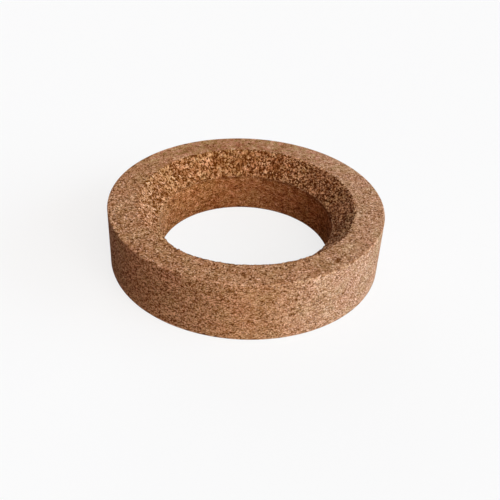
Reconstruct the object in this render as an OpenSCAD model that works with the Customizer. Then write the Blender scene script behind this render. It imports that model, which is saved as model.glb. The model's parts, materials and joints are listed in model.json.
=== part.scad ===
// Cork ring: a stand for a round-bottomed flask.
// One ring of agglomerated cork, turned from a flat slab: a straight outer wall, a straight bore, flat faces
// above and below, and a conical seat that opens upwards from the bore and carries the flask.
// Millimetres, +Z up, origin at the middle of the underside.

/* [Ring] */
// Outside diameter
outer_d = 139.7; // [128:0.1:220]
// Height from the underside to the top face
height = 31.75; // [22:0.05:70]

/* [Bore] */
// Diameter of the straight bore
bore_d = 88.9; // [50:0.1:92]

/* [Seat] */
// Diameter of the seat's mouth, where it meets the top face
mouth_d = 109.8; // [96:0.1:124]
// Depth of the seat below the top face
seat_depth = 11; // [4:0.1:18]

/* [Edges] */
// Rounding of the two outer edges
outer_edge_r = 0.6; // [0.1:0.05:1]
// Rounding of the seat's mouth
mouth_edge_r = 0.8; // [0.1:0.05:1]
// Rounding of the throat, where the seat meets the bore
throat_edge_r = 0.8; // [0.1:0.05:1]
// Rounding of the bore's lower edge
bore_edge_r = 0.4; // [0.1:0.05:1]

/* [Hidden] */
$fn = 180;

cork = "#B8875F";

// Straight steps that make up one rounding in the section
rounding_steps = 5;

// Corners of the section as [radius, height, rounding], anticlockwise from the foot of the outer wall
corners = [
    [outer_d / 2, 0, outer_edge_r],
    [outer_d / 2, height, outer_edge_r],
    [mouth_d / 2, height, mouth_edge_r],
    [bore_d / 2, height - seat_depth, throat_edge_r],
    [bore_d / 2, 0, bore_edge_r],
];
last = len(corners) - 1;

function place(i) = [corners[i][0], corners[i][1]];
function unit(v) = v / norm(v);

// Directions from corner i along its two sides
function back(i) = unit(place(i > 0 ? i - 1 : last) - place(i));
function ahead(i) = unit(place(i < last ? i + 1 : 0) - place(i));

// Half of the angle that the material fills at corner i
function half_angle(i) = acos(back(i) * ahead(i)) / 2;

// Centre of corner i's rounding, and its points from the side behind to the side ahead
function centre(i) = place(i) + corners[i][2] / sin(half_angle(i)) * unit(back(i) + ahead(i));
function rounding(i) =
    let (r = corners[i][2],
         start = place(i) + r / tan(half_angle(i)) * back(i) - centre(i),
         from = atan2(start[1], start[0]),
         turn = 180 - 2 * half_angle(i))
    [for (k = [0 : rounding_steps])
        let (a = from + turn * k / rounding_steps)
        centre(i) + r * [cos(a), sin(a)]];

// Section through one wall of the ring
module ring_section() {
    polygon([for (i = [0 : last]) each rounding(i)]);
}

module cork_ring() {
    color(cork)
        rotate_extrude()
            ring_section();
}

cork_ring();
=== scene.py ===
"""A cork ring on a pale floor: one skin of bonded cork granules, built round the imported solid's own sizes."""

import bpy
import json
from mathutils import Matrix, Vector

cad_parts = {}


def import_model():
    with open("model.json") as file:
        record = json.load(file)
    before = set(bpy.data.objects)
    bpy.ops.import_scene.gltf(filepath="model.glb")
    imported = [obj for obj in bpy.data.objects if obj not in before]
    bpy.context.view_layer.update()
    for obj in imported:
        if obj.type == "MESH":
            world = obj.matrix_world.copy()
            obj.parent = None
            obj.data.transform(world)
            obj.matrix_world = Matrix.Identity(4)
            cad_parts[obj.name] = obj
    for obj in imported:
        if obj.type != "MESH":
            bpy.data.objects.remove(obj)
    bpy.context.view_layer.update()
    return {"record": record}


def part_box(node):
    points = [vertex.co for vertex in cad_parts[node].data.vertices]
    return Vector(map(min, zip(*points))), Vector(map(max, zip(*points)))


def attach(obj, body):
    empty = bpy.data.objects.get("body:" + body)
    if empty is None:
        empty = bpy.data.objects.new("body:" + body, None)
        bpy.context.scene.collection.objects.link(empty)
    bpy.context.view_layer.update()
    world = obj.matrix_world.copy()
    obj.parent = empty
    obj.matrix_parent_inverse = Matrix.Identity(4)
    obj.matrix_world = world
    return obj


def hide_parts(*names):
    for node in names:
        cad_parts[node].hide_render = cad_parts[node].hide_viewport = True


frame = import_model()

import json
import math

import bpy
import numpy as np
from mathutils import Matrix, Vector

MM = 0.001

# ---- The ring's sizes, in metres ----

foot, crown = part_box("cork_ring")
mounts = {mount["name"]: mount for mount in frame["record"]["mounts"]}
OUTER_R = (crown.x - foot.x) / 2
HEIGHT = crown.z - foot.z
BORE_R = mounts["bore"]["dims"]["r_mm"] * MM
MOUTH_R = 54.9 * MM
SEAT_DEPTH = 11 * MM

# Roundings of the section's edges
OUTER_EDGE = 0.6 * MM
MOUTH_EDGE = 0.8 * MM
THROAT_EDGE = 0.8 * MM
BORE_EDGE = 0.4 * MM

# ---- The skin's mesh ----

COLUMNS = 800
EDGE_ROWS = 3
# Rows on each face of the section, and how far they crowd towards its two edges, from 0 to 1
FACE_ROWS = {"bottom": (10, 0.7), "wall": (24, 0.65), "top": (16, 0.45), "seat": (42, 0), "bore": (14, 0.6)}
# How far the torn seat runs out past its two edges
SEAT_FADE = {"top": 0.5 * MM, "bore": 0.9 * MM}
# Bands round the ring: the face whose first row each is measured from, how far on from there its
# middle lies, and how far it reaches to each side
RIM_BAND = ("top", 0.4 * OUTER_EDGE, 0.8 * MM)
CALM_BAND = ("seat", 0.5 * MOUTH_EDGE, 1.2 * MM)
LIP_BAND = ("bore", -0.2 * MM, 0.9 * MM)
THROAT_SHADOW_BAND = ("bore", 1.1 * MM, 1.3 * MM)
# How much of the torn relief is taken away in the calm band
CALM_SHARE = 0.6
# How much the edge before each face is chipped, and how far from it the chips reach
CHIPPED = {"bottom": 1, "wall": 1, "top": 0.4, "seat": 0.8, "bore": 1}
CHIP_REACH = 0.9 * MM
# Room left round each half of the ring in the map for baking, as a share of that half's place
UV_MARGIN = 0.008

# ---- The cork's pattern, in millimetres ----

# Bonded granules, the finer ones among them, the crumbs between them and the grain on them
GRANULE = 2.3
FINE_GRANULE = 1.15
CRUMB = 0.6
GRAIN = 0.55
BARK_SPACING = 3.0
# How many times wider than high the granules are, how far their borders wander, and over what length
SQUASH = 1.7
WARP = 1.1
WARP_SIZE = 1.3
# The seat's torn granules: their size, how much their faces lean, and how their borders wander
TORN_GRANULE = 1.55
TORN_LEAN = 0.7
TORN_WARP = 1.1
TORN_WARP_SIZE = 0.9
# How many times longer they are down the slope than round the ring, and the same on its paler side
TORN_STRETCH = 1.7
TORN_STRETCH_PALE = 0.85
# Heights of the relief
SANDED_RELIEF = 0.12
CHIP_DEPTH = 0.35
PROUD_HEIGHT = 0.6
# Sizes of the clouds that make things uneven
SANDED_SIZE = 5.0
CHIP_SIZE = 2.2
RAGGED_SIZE = 1.2
DRIFT_SIZE = 11.0
MOTTLE_SIZE = 2.6
CRACK_OPENING = 2.4
CRACK_BREAK_SIZE = 1.0
SEAT_CRACK_OPENING = 1.2
THROAT_SHADOW_BREAK_SIZE = 6.0
# Sides of the ring: a direction from its axis, and how far along it the side sets in and is full.
# The paler, plainer right side is painted light and the left's richer grain contrast is painted shade of
# its pores; the cork is worn at the back and tan in front.
LEFT = (-0.99, -0.14, 0)
SIDES = {
    "pale": ((0.98, 0.17, 0), 0, 60),
    "rich": ((-0.82, -0.57, 0), 35, 70),
    "worn": ((-0.1, 0.99, 0), 20, 62),
    "tan": ((-0.34, -0.94, 0), 48, 69),
    "back_left": ((-0.64, 0.77, 0), 30, 44),
    "left": (LEFT, 25, 46),
    "left_bore": (LEFT, 33, 46),
    "far_left": (LEFT, 36, 50),
    "off_left": (LEFT, 36, 20),
}
# Single marks: degrees round the ring, radius, height and size
DARK_MARKS = [
    (189.0, 69.8, 30.8, 1.3), (270.5, 62.5, 31.7, 1.5), (243.8, 69.8, 4.0, 1.6), (263.2, 69.8, 22.6, 1.3),
    (252.0, 69.8, 14.8, 1.2), (277.0, 69.8, 23.0, 1.3), (289.2, 69.8, 13.6, 1.7), (273.0, 69.8, 11.0, 1.8),
    (311.8, 69.8, 16.0, 1.3), (311.0, 64.5, 31.7, 1.8), (257.0, 69.8, 1.0, 1.4),
]
LIGHT_MARKS = [(297.8, 69.8, 29.6, 1.9), (200.0, 62.0, 31.7, 1.5)]
# A granule that stands up on the mouth's rim
PROUD_GRANULE = (236.7, 55.0, 31.6, 0.6)

# ---- The cork's colours, as hex codes ----

# Tones from the darkest cork at 0 to the palest at 1, and the tone of plain cork
CORK = [
    (0, "4F280D"), (0.15, "734622"), (0.3, "926543"), (0.42, "A57957"), (0.54, "B48866"), (0.66, "C29777"),
    (0.78, "D3AB8C"), (0.9, "E7C1A6"), (1, "F4D3BE"),
]
PLAIN_TONE = 0.52
# Tints that the cork is multiplied by: slow drifts from greener to redder, mottling from olive to pink,
# and that of each side, where the paler, lit one has none, as painted light
DRIFT = [(0.3, "F8FFF8"), (0.5, "FEFDFE"), (0.7, "FFF5F8")]
MOTTLE = [(0.32, "F0FFE6"), (0.5, "FAFBFF"), (0.68, "FEEEFF")]
USUAL_TINT = "F4EADA"
PALE_TINT = "FFFFFF"
TAN_TINT = "FFF7E7"
# Tints inside the ring: those of the bore and of the seat, each with its tint on the paler side, and
# those of the left
BORE_TINTS = ("FCE8D3", "F6DEC0")
SEAT_TINTS = ("F3E8D5", "F2E4CC")
FAR_LEFT_TINT = "FFFAF5"
BACK_LEFT_TINT = "F2D7B9"
# Cracks on the sanded faces and on the seat, bark, the seat's pits, which are partly painted shade, and the
# painted shadow under the throat
CRACK = "582D10"
SEAT_CRACK = "582B04"
BARK = "5A3820"
PIT = "5A2C04"
THROAT_SHADOW = "4A2204"
# How much of the cork's own colour the cracks, the bark and the pits hide
CRACK_SHARE = 0.92
BARK_SHARE = 0.7
PIT_SHARE = 0.5

# ---- How much the tone varies: the usual amount, and others in the zones named ----

GRANULE_SHADE = {"usual": 0.2, "crumbled": 0.1, "worn": 0.35, "bore": 0.28}
FINE_SHADE = {"usual": 0.1, "crumbled": 0.26}
# More fine grain on the shaded left wall, as painted shade of its pores
FINE_SHADE_RICH_WALL = 0.2
CRUMB_SHADE = {"usual": 0.45, "worn": 0.25}
GRAIN_SHADE = {"usual": 0.95, "wall": 2.1, "worn": 0.6, "bore": 0.6}
BLACK_CRUMBS = {"usual": 0.3, "worn": 0.15}
WHITE_CRUMBS = 0.12
# The torn seat: its own granules, the grain of the cork that is seen in them, and its lift; on the paler
# side the stronger grain is painted shade and the higher lift painted light
TORN_SHADE = {"usual": 0.4, "pale": 0.25, "left": 0.24}
TORN_GRAIN = {"usual": 0.7, "pale": 1.4}
TORN_LIFT = {"usual": 0.045, "pale": 0.165}
# What is added to a contrast of 1; the rise on the shaded left wall and on the seat's paler side
# is painted shade of its pores and relief
RICH_CONTRAST = {"usual": 0.18, "wall": 1.35}
PALE_CONTRAST = {"usual": -0.08, "wall": -0.1, "bore": 0.2, "seat": 0.85}
INSIDE_CONTRAST = 0.3
# Places that are lighter, or darker where the lift is below 0
# The wall's lift is painted light, such as a pale floor throws back
WALL_PAINTED_LIGHT = {"usual": 0.105, "pale": 0.0}
RIM_LIFT = {"usual": 0.18, "pale": 0.03}
# A painted highlight along the throat's edge on the paler side
PALE_LIP_HIGHLIGHT = 0.3
WORN_TOP_LIFT = -0.028
# Painted shade on the top's left side, away from the lamps
LEFT_TOP_PAINTED_SHADE = -0.014
# Painted light on the bore's left side, which faces the lamps
LEFT_BORE_PAINTED_LIGHT = 0.08
LIGHT_MARK_LIFT = 0.3
DARK_MARK_LIFT = -0.34

# ---- How much the rest varies, said in the same way ----

GRANULE_HUE = {"usual": 0.06, "worn": 0.4}
FINE_CRACKS = {"usual": 0.2, "crumbled": 0.9}
WORN_CRACKS = {"usual": 1.0, "worn": 0.4}
PALE_CRACKS = {"usual": 1.0, "pale": 0.75}
WALL_CRACKS = {"usual": 1.0, "wall": 0.8}
PALE_INSIDE = {"usual": 1.0, "inside": 0.5}
FAR_LEFT_SHARE = {"usual": 1.0, "bore": 0.35}
# The painted shadow under the throat, as it is on the paler side
PALE_THROAT_SHADOW = 0.65
# Heights in the bump, in millimetres
PORE_BUMP = {"usual": 0.38, "seat": 0.3}
CRUMB_BUMP = {"usual": 0.03, "seat": 0.08}
CRACK_BUMP = {"usual": -0.1, "seat": -0.15}
BARK_BUMP = -0.08
# Roughness of the grain, from its lows to its highs, and of the cracks
GRAIN_ROUGHNESS = (0.85, 0.99)
CRACK_ROUGHNESS = 0.75
SPECULAR = 0.02

# ---- Smooth steps: the two values that each goes between, and what it goes from and to, if not 0 and 1 ----

# Granules that have crumbled into finer ones
CRUMBLED_STEP = (0.4, 0.45)
# Single marks, and how ragged their edges are
MARK_STEP = (0.45, 0.65)
RAGGEDNESS = 1.6
# The edges' chips and the proud granule
CHIP_STEP = (0.58, 0.78)
PROUD_STEP = (0.3, 0.7)
# Heights of the torn granules in millimetres: rounded off towards their borders, lost where their chance
# value is low, and raised or lowered by how far that value is from a middle one
TORN_ROUNDING = (0.0, 0.25, -0.35, 0.05)
TORN_LOSS = (0.0, 0.15, -0.25, 0.0)
TORN_MIDDLE = 0.4
TORN_RISE = 0.25
# Crumbs that are nearly black, and nearly white
BLACK_STEP = (0.08, 0.13, 1.0, 0.0)
WHITE_STEP = (0.9, 0.94)
# Half the cracks' width in millimetres, from the cloud that opens them, and below 0 where they are closed
CRACK_WIDTH = (0.45, 0.65, -0.1, 0.28)
FINE_CRACK_WIDTH = (0.35, 0.5, 0.25, -0.1)
SEAT_CRACK_WIDTH = (0.4, 0.65, -0.08, 0.42)
# How a crack ends past that width, and how the sanded faces' cracks are broken up
CRACK_STEP = (-0.05, 0.07, 1.0, 0.0)
FINE_CRACK_STEP = (-0.05, 0.06, 1.0, 0.0)
SEAT_CRACK_STEP = (-0.08, 0.1, 1.0, 0.0)
CRACK_BREAKS = (0.38, 0.55, 0.2, 1.0)
# Half the flecks' width in millimetres, by chance, below 0 where there is none, and how a fleck ends past it
BARK_WIDTH = (0.5, 1.0, -0.1, 0.6)
BARK_STEP = (-0.1, 0.1, 1.0, 0.0)
# The seat's pits, partly painted shade, by its relief in millimetres, and how the painted shadow under the
# throat is broken up
PIT_STEP = (-0.6, -0.2, 1.0, 0.0)
THROAT_SHADOW_BREAKS = (0.38, 0.6, 0.25, 0.65)

# ---- The camera, read from the picture's outlines ----

IMAGE_SIDE = 500
FOCAL_PX = 742
CAMERA_DISTANCE = 0.395
CAMERA_ELEVATION = math.radians(35.31)
CAMERA_PAN = math.radians(-0.43)
CAMERA_TILT = math.radians(0.14)
CAMERA_ROLL = math.radians(-2.73)
SENSOR_MM = 36
NEAREST_SEEN = 0.01

# ---- The studio ----

FLOOR_SIZE = 6.0
FLOOR_Z = -0.1 * MM
# How much of the lamps' light the floor gives back, and how much it is lifted for the camera
FLOOR_GREY = 0.165
FLOOR_LIFT = 0.787
# The white world's strength as it lights the object, and as the camera sees it
WORLD_FILL = 0.02
WORLD_SEEN = 0.95
# Lamps: azimuth, where 0 is the ring's right and 270 its front, elevation and spread, all in degrees,
# and the colour of a white face that is turned to the lamp
LAMPS = {
    "right": (0, 12, 45, (0.63, 0.84, 1.02)),
    "low_front": (330, 20, 45, (0.68, 0.74, 0.79)),
    "high_front": (300, 50, 45, (0.63, 0.59, 0.54)),
    "back": (110, 20, 45, (0.28, 0.28, 0.31)),
    "low_back": (98, 2, 30, (0.38, 0.36, 0.36)),
    "left": (250, 20, 45, (0.17, 0.07, 0.03)),
}


def rounding(before, corner, after, radius):
    """Places along the rounding of a corner, from the side before it to the side after it."""
    back, ahead = before - corner, after - corner
    back, ahead = back / np.linalg.norm(back), ahead / np.linalg.norm(ahead)
    half = math.acos(back @ ahead) / 2
    bisector = (back + ahead) / np.linalg.norm(back + ahead)
    centre = corner + radius / math.sin(half) * bisector
    start = math.atan2(back[0], -back[1])
    turn = math.pi - 2 * half
    angles = [start + turn * k / EDGE_ROWS for k in range(EDGE_ROWS + 1)]
    return [centre + radius * np.array([math.cos(a), math.sin(a)]) for a in angles]


def section_rows():
    """The section as rows of (radius, height, face name), anticlockwise from the bore's foot.

    The rows of a rounding count to the face after it.
    """
    corners = [
        (BORE_R, 0, BORE_EDGE, "bottom"),
        (OUTER_R, 0, OUTER_EDGE, "wall"),
        (OUTER_R, HEIGHT, OUTER_EDGE, "top"),
        (MOUTH_R, HEIGHT, MOUTH_EDGE, "seat"),
        (BORE_R, HEIGHT - SEAT_DEPTH, THROAT_EDGE, "bore"),
    ]
    places = [np.array(corner[:2]) for corner in corners]
    count = len(corners)
    arcs = [rounding(places[i - 1], places[i], places[(i + 1) % count], corners[i][2]) for i in range(count)]
    rows = []
    for i in range(count):
        name = corners[i][3]
        rows += [(*place, name) for place in arcs[i]]
        start, end = arcs[i][-1], arcs[(i + 1) % count][0]
        steps, crowding = FACE_ROWS[name]
        for k in range(1, steps):
            share = k / steps - crowding * math.sin(2 * math.pi * k / steps) / (2 * math.pi)
            rows.append((*(start + (end - start) * share), name))
    return rows


def smooth_fall(distance, reach):
    """1 at no distance and 0 from reach on, with a smooth slope between."""
    x = np.clip(1 - distance / reach, 0, 1)
    return x * x * (3 - 2 * x)


def row_masks(radius, height, names):
    """What each row has of the ring's faces, bands and edges, from 0 to 1."""
    along = np.concatenate([[0], np.cumsum(np.hypot(np.diff(radius), np.diff(height)))])

    def past(face):
        return along - along[names.index(face)]

    def face_rows(face):
        return np.array([name == face for name in names], float)

    def band(face, middle, reach):
        return smooth_fall(np.abs(past(face) - middle), reach)

    runs_out = [band("seat", 0, SEAT_FADE["top"]), band("bore", 0, SEAT_FADE["bore"])]
    seat = np.maximum.reduce([face_rows("seat"), *runs_out])
    return {
        "seat": seat,
        "torn": seat * (1 - CALM_SHARE * band(*CALM_BAND)),
        "wall": face_rows("wall"),
        "bore": np.clip(past("bore") / SEAT_FADE["bore"], 0, 1),
        "rim": band(*RIM_BAND),
        "throat": band(*THROAT_SHADOW_BAND),
        "lip": band(*LIP_BAND),
        "edge": np.maximum.reduce([share * band(face, 0, CHIP_REACH) for face, share in CHIPPED.items()]),
    }


def skin_mesh(rows):
    """The closed skin of the smooth ring: its rows turned round the axis, with a baking map and the masks."""
    radius = np.array([row[0] for row in rows])
    height = np.array([row[1] for row in rows])
    names = [row[2] for row in rows]
    angle = np.arange(COLUMNS) * 2 * math.pi / COLUMNS
    count = len(rows)
    points = np.empty((COLUMNS, count, 3))
    points[:, :, 0] = np.cos(angle)[:, None] * radius
    points[:, :, 1] = np.sin(angle)[:, None] * radius
    points[:, :, 2] = height

    column, row = np.meshgrid(np.arange(COLUMNS), np.arange(count), indexing="ij")
    after, above = (column + 1) % COLUMNS, (row + 1) % count
    corners = [column * count + row, after * count + row, after * count + above, column * count + above]
    faces = np.stack(corners, -1)

    mesh = bpy.data.meshes.new("cork_skin")
    mesh.vertices.add(COLUMNS * count)
    mesh.vertices.foreach_set("co", points.ravel())
    mesh.loops.add(faces.size)
    mesh.loops.foreach_set("vertex_index", faces.ravel())
    mesh.polygons.add(faces.size // 4)
    mesh.polygons.foreach_set("loop_start", np.arange(0, faces.size, 4))
    mesh.update(calc_edges=True)
    mesh.shade_smooth()
    bake_map(mesh, radius, height)
    for name, per_row in row_masks(radius, height, names).items():
        values = mesh.attributes.new(name, "FLOAT", "POINT")
        values.data.foreach_set("value", np.tile(per_row, COLUMNS).astype(np.float32))
    return mesh


def bake_map(mesh, radius, height):
    """The map for baking: the ring's halves laid flat, one above the other, by length along the section."""
    count = len(radius)
    steps = np.hypot(np.diff(radius, append=radius[0]), np.diff(height, append=height[0]))
    along = np.concatenate([[0], np.cumsum(steps)]) / steps.sum()
    half = COLUMNS // 2
    across = np.arange(half + 1) / half
    column, row = np.meshgrid(np.arange(COLUMNS), np.arange(count), indexing="ij")
    strip, column = column // half, column % half
    inside = 1 - 2 * UV_MARGIN
    u = np.stack([across[column], across[column + 1], across[column + 1], across[column]], -1)
    v = np.stack([along[row], along[row], along[row + 1], along[row + 1]], -1)
    u = UV_MARGIN + inside * u
    v = (strip[..., None] + UV_MARGIN + inside * v) / 2
    layer = mesh.uv_layers.new(name="OFBake")
    layer.uv.foreach_set("vector", np.stack([u, v], -1).astype(np.float32).ravel())


class Net:
    """Adds nodes to a shader or geometry tree. A value is a number, a tuple or another node's output."""

    def __init__(self, tree):
        self.tree = tree

    def node(self, kind, **settings):
        made = self.tree.nodes.new(kind)
        for name, value in settings.items():
            setattr(made, name, value)
        return made

    def put(self, socket, value):
        if isinstance(value, bpy.types.NodeSocket):
            self.tree.links.new(value, socket)
        else:
            socket.default_value = value

    def math(self, operation, a, b=0.0, c=0.0):
        made = self.node("ShaderNodeMath", operation=operation)
        for socket, value in zip(made.inputs, (a, b, c)):
            self.put(socket, value)
        return made.outputs[0]

    def add(self, a, b):
        return self.math("ADD", a, b)

    def sub(self, a, b):
        return self.math("SUBTRACT", a, b)

    def mul(self, a, b):
        return self.math("MULTIPLY", a, b)

    def vector(self, operation, *values):
        """Vector maths, as the node."""
        made = self.node("ShaderNodeVectorMath", operation=operation)
        for socket, value in zip(made.inputs, values):
            self.put(socket, value)
        return made

    def move(self, place, shift, amount):
        """A place moved by a colour's channels, which are centred on a half, times an amount."""
        centred = self.vector("SUBTRACT", shift, (0.5, 0.5, 0.5)).outputs[0]
        return self.vector("MULTIPLY_ADD", centred, (amount,) * 3, place).outputs[0]

    def scale(self, place, factors):
        return self.vector("MULTIPLY", place, factors).outputs[0]

    def noise(self, place, size, detail=2.0, rough=0.5):
        """Cloudy noise with features of about the given size, as the node."""
        made = self.node("ShaderNodeTexNoise", noise_dimensions="3D")
        self.put(made.inputs["Vector"], place)
        made.inputs["Scale"].default_value = 1 / size
        made.inputs["Detail"].default_value = detail
        made.inputs["Roughness"].default_value = rough
        return made

    def cells(self, place, size, feature="F1"):
        """Cells of about the given size, as the node."""
        made = self.node("ShaderNodeTexVoronoi", voronoi_dimensions="3D", feature=feature)
        self.put(made.inputs["Vector"], place)
        made.inputs["Scale"].default_value = 1 / size
        return made

    def gap(self, place, size):
        """The distance from a place to the nearest border between such cells."""
        return self.mul(self.cells(place, size, "DISTANCE_TO_EDGE").outputs["Distance"], size)

    def channels(self, colour):
        made = self.node("ShaderNodeSeparateXYZ")
        self.put(made.inputs[0], colour)
        return made.outputs

    def rise(self, value, low, high, to_low=0.0, to_high=1.0):
        """A smooth step: to_low where the value is at low, to_high where it is at high, and level beyond."""
        made = self.node("ShaderNodeMapRange", interpolation_type="SMOOTHSTEP", clamp=True)
        for socket, number in zip(made.inputs, (value, low, high, to_low, to_high)):
            self.put(socket, number)
        return made.outputs[0]

    def mix(self, factor, a, b):
        made = self.node("ShaderNodeMix", data_type="FLOAT")
        for index, value in zip((0, 2, 3), (factor, a, b)):
            self.put(made.inputs[index], value)
        return made.outputs[0]

    def blend(self, factor, a, b, kind="MIX"):
        made = self.node("ShaderNodeMix", data_type="RGBA", blend_type=kind)
        for index, value in zip((0, 6, 7), (factor, a, b)):
            self.put(made.inputs[index], value)
        return made.outputs[2]


def granules(net, rest):
    """The bonded granules at a place in millimetres: their colours, and the distances to the next ones."""
    squashed = net.scale(rest, (1, 1, SQUASH))
    place = net.move(squashed, net.noise(squashed, WARP_SIZE).outputs["Color"], WARP)
    tone, hue, kind = net.channels(net.cells(place, GRANULE).outputs["Color"])
    return {
        "place": place,
        "tone": tone,
        "hue": hue,
        "fine_tone": net.channels(net.cells(place, FINE_GRANULE).outputs["Color"])[0],
        "crumb_tone": net.channels(net.cells(place, CRUMB).outputs["Color"])[0],
        "grain": net.noise(place, GRAIN, detail=1.0, rough=0.6).outputs[0],
        "gap": net.gap(place, GRANULE),
        "fine_gap": net.gap(place, FINE_GRANULE),
        "crumbled": net.rise(kind, *CRUMBLED_STEP),
    }


def toward(net, rest, side):
    """How far a place in millimetres is over to a side of the ring, from 0 to 1."""
    direction, low, high = SIDES[side]
    return net.rise(net.vector("DOT_PRODUCT", rest, direction).outputs["Value"], low, high)


def near(net, rest, mark):
    """How near a place in millimetres is to a mark, from 1 at its middle to 0 at twice its size."""
    degrees, radius, height, size = mark
    angle = math.radians(degrees)
    middle = (radius * math.cos(angle), radius * math.sin(angle), height)
    away = net.scale(net.vector("SUBTRACT", rest, middle).outputs[0], (1, 1, SQUASH))
    return net.rise(net.vector("LENGTH", away).outputs["Value"], 0.0, 2 * size, 1.0, 0.0)


def marked(net, rest, marks):
    """1 on any of the marks, with ragged edges, and 0 elsewhere."""
    nearest = 0.0
    for mark in marks:
        nearest = net.math("MAXIMUM", nearest, near(net, rest, mark))
    ragged = net.mul(net.sub(net.noise(rest, RAGGED_SIZE).outputs[0], 0.5), RAGGEDNESS)
    return net.rise(net.add(nearest, ragged), *MARK_STEP)


def torn_place(net, rest):
    """A place on the seat, with distances down its slope shrunk or drawn out, and those round it kept."""
    middle_radius = (MOUTH_R + BORE_R) / 2 / MM
    middle_height = (HEIGHT - SEAT_DEPTH / 2) / MM
    shrink = net.mix(toward(net, rest, "pale"), 1 / TORN_STRETCH, 1 / TORN_STRETCH_PALE)
    radius = net.vector("LENGTH", net.scale(rest, (1, 1, 0))).outputs["Value"]
    across = net.mix(shrink, net.math("DIVIDE", middle_radius, radius), 1.0)
    x, y, z = net.channels(rest)
    shrunk = net.node("ShaderNodeCombineXYZ")
    places = (net.mul(x, across), net.mul(y, across), net.mul(net.sub(z, middle_height), shrink))
    for socket, value in zip(shrunk.inputs, places):
        net.put(socket, value)
    return shrunk.outputs[0]


def torn_granules(net, rest):
    """The seat's torn granules: their tone, the distance to the next one, and their height in mm."""
    flat = torn_place(net, rest)
    place = net.move(flat, net.noise(flat, TORN_WARP_SIZE).outputs["Color"], TORN_WARP)
    cells = net.cells(place, TORN_GRANULE)
    tone, lift, _ = net.channels(cells.outputs["Color"])
    gap = net.gap(place, TORN_GRANULE)
    # Each granule's face leans its own way
    within = net.vector("SUBTRACT", place, cells.outputs["Position"]).outputs[0]
    slope = net.move((0.0, 0.0, 0.0), cells.outputs["Color"], TORN_LEAN)
    lean = net.vector("DOT_PRODUCT", within, slope).outputs["Value"]
    rounded = net.rise(gap, *TORN_ROUNDING)
    lost = net.rise(lift, *TORN_LOSS)
    raised = net.mul(net.sub(lift, TORN_MIDDLE), TORN_RISE)
    return tone, gap, net.add(net.add(rounded, lost), net.add(raised, lean))


def relief_tree():
    """Geometry nodes that keep each point's smooth place as rest, in mm, and press the relief in."""
    tree = bpy.data.node_groups.new("cork_relief", "GeometryNodeTree")
    tree.interface.new_socket("Geometry", in_out="INPUT", socket_type="NodeSocketGeometry")
    tree.interface.new_socket("Geometry", in_out="OUTPUT", socket_type="NodeSocketGeometry")
    net = Net(tree)
    source, result = net.node("NodeGroupInput"), net.node("NodeGroupOutput")

    def mesh_value(name, kind):
        made = net.node("GeometryNodeInputNamedAttribute", data_type=kind)
        made.inputs["Name"].default_value = name
        return made.outputs[0]

    keep = net.node("GeometryNodeStoreNamedAttribute", data_type="FLOAT_VECTOR", domain="POINT")
    keep.inputs["Name"].default_value = "rest"
    net.put(keep.inputs["Geometry"], source.outputs[0])
    net.put(keep.inputs["Value"], net.scale(net.node("GeometryNodeInputPosition").outputs[0], (1 / MM,) * 3))
    rest = mesh_value("rest", "FLOAT_VECTOR")
    torn, edge = mesh_value("torn", "FLOAT"), mesh_value("edge", "FLOAT")

    # The sanded faces have hardly any relief, so that they stay true
    sanded = net.mul(net.sub(net.noise(rest, SANDED_SIZE).outputs[0], 0.5), SANDED_RELIEF)
    crumbling = net.noise(rest, CHIP_SIZE, detail=3.0).outputs[0]
    chips = net.mul(edge, net.rise(crumbling, *CHIP_STEP, 0.0, -CHIP_DEPTH))
    proud = net.rise(near(net, rest, PROUD_GRANULE), *PROUD_STEP, 0.0, PROUD_HEIGHT)
    depth = net.add(net.mix(torn, sanded, torn_granules(net, rest)[2]), net.add(chips, proud))

    shift = net.vector("SCALE", net.node("GeometryNodeInputNormal").outputs[0])
    net.put(shift.inputs["Scale"], net.mul(depth, MM))
    press = net.node("GeometryNodeSetPosition")
    net.put(press.inputs["Geometry"], keep.outputs[0])
    net.put(press.inputs["Offset"], shift.outputs[0])
    net.put(result.inputs[0], press.outputs[0])
    return tree


def linear(code):
    """A hex colour as linear numbers."""
    parts = [int(code[i:i + 2], 16) / 255 for i in (0, 2, 4)]
    return (*[c / 12.92 if c <= 0.04045 else ((c + 0.055) / 1.055) ** 2.4 for c in parts], 1.0)


def ramp(net, value, stops):
    """Colours at their places along a value from 0 to 1."""
    made = net.node("ShaderNodeValToRGB")
    net.put(made.inputs[0], value)
    elements = made.color_ramp.elements
    for element, (at, code) in zip([elements[0], elements[1]], stops[:2]):
        element.position, element.color = at, linear(code)
    for at, code in stops[2:]:
        elements.new(at).color = linear(code)
    return made.outputs[0]


class Zones:
    """The cork's granules, and masks from 0 to 1 for the ring's faces, bands and sides, in its material."""

    def __init__(self, net):
        self.net = net
        self.rest = self.mesh_value("rest", "Vector")
        self.cork = granules(net, self.rest)
        self.crumbled = self.cork["crumbled"]
        for name in ("seat", "bore", "wall", "rim", "lip", "throat"):
            setattr(self, name, self.mesh_value(name, "Fac"))
        for side in SIDES:
            setattr(self, side, toward(net, self.rest, side))
        self.worn = net.mul(self.worn, net.sub(1.0, self.wall))
        self.inside = net.math("MAXIMUM", self.seat, self.bore)
        self.flat = net.sub(1.0, net.math("MAXIMUM", self.wall, self.inside))

    def mesh_value(self, name, output):
        made = self.net.node("ShaderNodeAttribute", attribute_type="GEOMETRY", attribute_name=name)
        return made.outputs[output]

    def vary(self, usual, **elsewhere):
        """The usual amount, with each other zone's own amount laid over the ones before it."""
        value = usual
        for name, amount in elsewhere.items():
            value = self.net.mix(getattr(self, name), value, amount)
        return value


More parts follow.
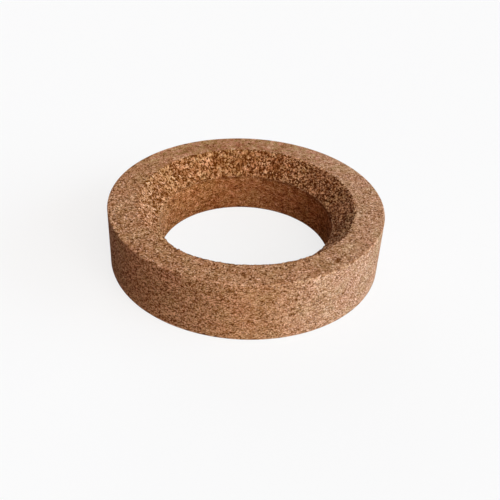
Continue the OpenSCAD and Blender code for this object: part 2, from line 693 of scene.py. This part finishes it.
def granule_tone(net, zones):
    """How light the granules, the finer ones, their crumbs and their grain are, where 0 is plain cork."""
    cork = zones.cork
    # The shaded left wall's stronger fine grain is painted shade of its pores
    rich_wall = net.mul(zones.rich, zones.wall)
    fine_shade = net.add(zones.vary(**FINE_SHADE), net.mul(rich_wall, FINE_SHADE_RICH_WALL))
    parts = [
        (cork["tone"], zones.vary(**GRANULE_SHADE)),
        (cork["fine_tone"], fine_shade),
        (cork["crumb_tone"], zones.vary(**CRUMB_SHADE)),
        (cork["grain"], zones.vary(**GRAIN_SHADE)),
    ]
    tone = 0.0
    for value, weight in parts:
        tone = net.add(tone, net.mul(net.sub(value, 0.5), weight))
    # A few crumbs are nearly black, and a few nearly white
    black = net.rise(cork["crumb_tone"], *BLACK_STEP)
    white = net.rise(cork["crumb_tone"], *WHITE_STEP, 0.0, WHITE_CRUMBS)
    return net.add(net.sub(tone, net.mul(black, zones.vary(**BLACK_CRUMBS))), white)


def whole_tone(net, zones, torn_tone):
    """The tone all over the ring, from 0 for the darkest cork to 1 for the palest."""
    sanded = granule_tone(net, zones)
    torn = net.mul(net.sub(torn_tone, 0.5), zones.vary(**TORN_SHADE))
    # On the seat's paler side the stronger grain is painted shade and the higher lift painted light
    torn = net.add(torn, net.mul(sanded, zones.vary(**TORN_GRAIN)))
    tone = net.mix(zones.seat, sanded, net.add(torn, zones.vary(**TORN_LIFT)))

    # More contrast on the shaded left and on the seat's paler side, as painted shade of pores and relief
    rich = net.mul(zones.rich, zones.vary(**RICH_CONTRAST))
    pale = net.mul(zones.pale, zones.vary(**PALE_CONTRAST))
    inside = net.add(net.mul(zones.bore, INSIDE_CONTRAST), net.mul(zones.seat, INSIDE_CONTRAST))
    contrast = net.add(net.add(net.add(rich, pale), inside), 1.0)
    tone = net.math("MULTIPLY_ADD", tone, contrast, PLAIN_TONE)

    # Lighter and darker places: the wall's, the left bore's and the paler lip's lifts are painted light, the
    # left top's is painted shade
    lifts = [
        (zones.wall, zones.vary(**WALL_PAINTED_LIGHT)),
        (zones.rim, zones.vary(**RIM_LIFT)),
        (net.mul(zones.lip, zones.pale), PALE_LIP_HIGHLIGHT),
        (net.mul(zones.flat, zones.worn), WORN_TOP_LIFT),
        (net.mul(zones.flat, zones.left), LEFT_TOP_PAINTED_SHADE),
        (net.mul(zones.bore, zones.left_bore), LEFT_BORE_PAINTED_LIGHT),
        (marked(net, zones.rest, LIGHT_MARKS), LIGHT_MARK_LIFT),
        (marked(net, zones.rest, DARK_MARKS + [PROUD_GRANULE]), DARK_MARK_LIFT),
    ]
    for place, lift in lifts:
        tone = net.add(tone, net.mul(place, lift))
    return tone


def tinted(net, zones, colour):
    """The colour with its drifts of hue, the worn top's mottling and the tints of the ring's sides, where the
    paler side's missing tint is painted light.
    """
    hue = net.mul(net.sub(zones.cork["hue"], 0.5), zones.vary(**GRANULE_HUE))
    drift = net.add(net.noise(zones.rest, DRIFT_SIZE, detail=3.0, rough=0.6).outputs[0], hue)
    colour = net.blend(1.0, colour, ramp(net, drift, DRIFT), "MULTIPLY")
    mottle = net.noise(zones.cork["place"], MOTTLE_SIZE, rough=0.6).outputs[0]
    worn_top = net.mul(zones.worn, zones.flat)
    colour = net.blend(worn_top, colour, ramp(net, mottle, MOTTLE), "MULTIPLY")
    # The paler right side loses the usual tint, as painted light
    pale = net.mul(zones.pale, zones.vary(**PALE_INSIDE))
    side = net.blend(pale, linear(USUAL_TINT), linear(PALE_TINT))
    colour = net.blend(1.0, colour, side, "MULTIPLY")
    return net.blend(net.mul(zones.tan, zones.wall), colour, linear(TAN_TINT), "MULTIPLY")


def cracks(net, zones, torn_gap):
    """The dark cracks between granules, from 0 to 1: open here, closed there, and broken up."""
    cork, rest = zones.cork, zones.rest
    opening = net.noise(rest, CRACK_OPENING, rough=0.65).outputs[0]
    beside = net.sub(cork["gap"], net.rise(opening, *CRACK_WIDTH))
    groove = net.rise(beside, *CRACK_STEP)
    fine_beside = net.sub(cork["fine_gap"], net.rise(opening, *FINE_CRACK_WIDTH))
    fine_groove = net.mul(net.rise(fine_beside, *FINE_CRACK_STEP), zones.vary(**FINE_CRACKS))
    sanded = net.mul(net.math("MAXIMUM", groove, fine_groove), zones.vary(**WORN_CRACKS))
    sanded = net.mul(sanded, net.mul(zones.vary(**PALE_CRACKS), zones.vary(**WALL_CRACKS)))
    breaks = net.noise(rest, CRACK_BREAK_SIZE, detail=1.0).outputs[0]
    sanded = net.mul(sanded, net.rise(breaks, *CRACK_BREAKS))

    torn_opening = net.noise(rest, SEAT_CRACK_OPENING, detail=1.0).outputs[0]
    torn_beside = net.sub(torn_gap, net.rise(torn_opening, *SEAT_CRACK_WIDTH))
    return net.mix(zones.seat, sanded, net.rise(torn_beside, *SEAT_CRACK_STEP))


def bark_flecks(net, zones):
    """Small dark flecks of bark strewn among the granules, from 0 to 1."""
    cells = net.cells(zones.cork["place"], BARK_SPACING)
    width = net.rise(net.channels(cells.outputs["Color"])[0], *BARK_WIDTH)
    beside = net.sub(net.mul(cells.outputs["Distance"], BARK_SPACING), width)
    return net.rise(beside, *BARK_STEP)


def throat_shadow(net, zones):
    """A painted shadow under the throat, from 0 to 1: even on the paler side, and gone on the left."""
    broken = net.rise(net.noise(zones.rest, THROAT_SHADOW_BREAK_SIZE).outputs[0], *THROAT_SHADOW_BREAKS)
    broken = net.mul(broken, zones.off_left)
    return net.mul(zones.throat, net.mix(zones.pale, broken, PALE_THROAT_SHADOW))


def inside_tint(net, zones):
    """The tint of the bore and the seat, which are redder than the sanded faces."""
    pairs = [[linear(code) for code in tints] for tints in (BORE_TINTS, SEAT_TINTS)]
    tint = net.blend(zones.seat, *[net.blend(zones.pale, *pair) for pair in pairs])
    far_left = net.mul(zones.far_left, zones.vary(**FAR_LEFT_SHARE))
    tint = net.blend(far_left, tint, linear(FAR_LEFT_TINT))
    return net.blend(net.mul(zones.bore, zones.back_left), tint, linear(BACK_LEFT_TINT))


def cork_bump(net, zones, crack, bark):
    """The normal with pores and crumbs that are too fine for the mesh."""
    pores = net.mul(zones.cork["grain"], zones.vary(**PORE_BUMP))
    crumbs = net.mul(zones.cork["crumb_tone"], zones.vary(**CRUMB_BUMP))
    dents = net.add(net.mul(crack, zones.vary(**CRACK_BUMP)), net.mul(bark, BARK_BUMP))
    bump = net.node("ShaderNodeBump")
    bump.inputs["Strength"].default_value = 1.0
    bump.inputs["Distance"].default_value = MM
    net.put(bump.inputs["Height"], net.add(net.add(pores, crumbs), dents))
    return bump.outputs[0]


def cork_material():
    """Sanded agglomerated cork, with a torn and darker seat and a redder bore."""
    material = bpy.data.materials.new("agglomerated_cork")
    material.use_nodes = True
    net = Net(material.node_tree)
    surface = material.node_tree.nodes["Principled BSDF"]
    zones = Zones(net)
    torn_tone, torn_gap, torn_height = torn_granules(net, zones.rest)
    crack = cracks(net, zones, torn_gap)
    bark = bark_flecks(net, zones)
    pit = net.mul(net.rise(torn_height, *PIT_STEP), zones.seat)

    colour = tinted(net, zones, ramp(net, whole_tone(net, zones, torn_tone), CORK))
    crack_colour = net.blend(zones.seat, linear(CRACK), linear(SEAT_CRACK))
    colour = net.blend(net.mul(crack, CRACK_SHARE), colour, crack_colour)
    colour = net.blend(net.mul(bark, BARK_SHARE), colour, linear(BARK))
    # The seat's pits darkened by their depth: partly painted shade, partly the torn cork's darker hollows
    colour = net.blend(net.mul(pit, PIT_SHARE), colour, linear(PIT))
    # A painted shadow under the throat
    colour = net.blend(throat_shadow(net, zones), colour, linear(THROAT_SHADOW))
    colour = net.blend(zones.inside, colour, inside_tint(net, zones), "MULTIPLY")
    net.put(surface.inputs["Base Color"], colour)

    roughness = net.mix(zones.cork["grain"], *GRAIN_ROUGHNESS)
    net.put(surface.inputs["Roughness"], net.mix(crack, roughness, CRACK_ROUGHNESS))
    surface.inputs["Specular IOR Level"].default_value = SPECULAR
    net.put(surface.inputs["Normal"], cork_bump(net, zones, crack, bark))
    return material


def cork_ring():
    """The ring's skin with its relief pressed in, in place of the plain solid."""
    ring = bpy.data.objects.new("cork_ring_skin", skin_mesh(section_rows()))
    bpy.context.scene.collection.objects.link(ring)
    ring.modifiers.new("relief", "NODES").node_group = relief_tree()
    finished = bpy.data.meshes.new_from_object(ring.evaluated_get(bpy.context.evaluated_depsgraph_get()))
    ring.modifiers.clear()
    ring.data = finished
    finished.materials.clear()
    finished.materials.append(cork_material())
    return ring


def seen(net):
    """1 on the camera's rays and those that gloss or glass sends on, and 0 on the rays that light things."""
    path = net.node("ShaderNodeLightPath")
    rays = net.math("MAXIMUM", path.outputs["Is Camera Ray"], path.outputs["Is Glossy Ray"])
    return net.math("MAXIMUM", rays, path.outputs["Is Transmission Ray"])


def floor_material():
    """A grey that keeps the ring's shadow, lifted to a pale white where the camera sees it."""
    material = bpy.data.materials.new("floor_white")
    material.use_nodes = True
    net = Net(material.node_tree)
    nodes = material.node_tree.nodes
    nodes.remove(nodes["Principled BSDF"])
    lit = net.node("ShaderNodeBsdfDiffuse")
    lit.inputs["Color"].default_value = (FLOOR_GREY, FLOOR_GREY, FLOOR_GREY, 1)
    glow = net.node("ShaderNodeEmission")
    glow.inputs["Color"].default_value = (FLOOR_LIFT, FLOOR_LIFT, FLOOR_LIFT, 1)
    net.put(glow.inputs["Strength"], seen(net))
    both = net.node("ShaderNodeAddShader")
    net.put(both.inputs[0], lit.outputs[0])
    net.put(both.inputs[1], glow.outputs[0])
    net.put(nodes["Material Output"].inputs["Surface"], both.outputs[0])
    return material


def floor():
    """The plain floor that the ring stands on."""
    bpy.ops.mesh.primitive_plane_add(size=FLOOR_SIZE, location=(0, 0, FLOOR_Z))
    plane = bpy.context.object
    plane.name = "floor"
    plane.data.materials.append(floor_material())


def world():
    """White to the camera, and a faint fill for the object."""
    made = bpy.data.worlds.new("studio")
    bpy.context.scene.world = made
    made.use_nodes = True
    net = Net(made.node_tree)
    background = made.node_tree.nodes["Background"]
    background.inputs["Color"].default_value = (1, 1, 1, 1)
    net.put(background.inputs["Strength"], net.mix(seen(net), WORLD_FILL, WORLD_SEEN))


def lamp(name, azimuth, elevation, spread, colour):
    """A soft lamp far away, as LAMPS describes it."""
    data = bpy.data.lights.new(name, "SUN")
    strongest = max(colour)
    data.energy = math.pi * strongest
    data.color = [part / strongest for part in colour]
    data.angle = math.radians(spread)
    made = bpy.data.objects.new(name, data)
    a, e = math.radians(azimuth), math.radians(elevation)
    to_lamp = Vector((math.cos(a) * math.cos(e), math.sin(a) * math.cos(e), math.sin(e)))
    made.rotation_mode = "QUATERNION"
    made.rotation_quaternion = to_lamp.to_track_quat("Z", "Y")
    bpy.context.scene.collection.objects.link(made)


def lights():
    for name, (azimuth, elevation, spread, colour) in LAMPS.items():
        lamp(name, azimuth, elevation, spread, colour)


def camera():
    """The camera that sees the ring as the picture does, from its distance, elevation and small turns."""
    data = bpy.data.cameras.new("camera")
    data.sensor_width = SENSOR_MM
    data.lens = FOCAL_PX / IMAGE_SIDE * SENSOR_MM
    data.clip_start = NEAREST_SEEN
    made = bpy.data.objects.new("camera", data)
    bpy.context.scene.collection.objects.link(made)
    ahead = Vector((0, math.cos(CAMERA_ELEVATION), -math.sin(CAMERA_ELEVATION)))
    right = Vector((1, 0, 0))
    up = right.cross(ahead)
    turn = (Matrix.Rotation(CAMERA_PAN, 3, up) @ Matrix.Rotation(CAMERA_TILT, 3, right)
            @ Matrix.Rotation(CAMERA_ROLL, 3, ahead))
    axes = Matrix((turn @ right, turn @ up, turn @ -ahead)).transposed()
    made.matrix_world = Matrix.Translation(-CAMERA_DISTANCE * ahead) @ axes.to_4x4()
    bpy.context.scene.camera = made


ring = cork_ring()
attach(ring, "root")
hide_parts("cork_ring")
floor()
world()
lights()
camera()
bpy.context.scene.view_settings.view_transform = "Standard"
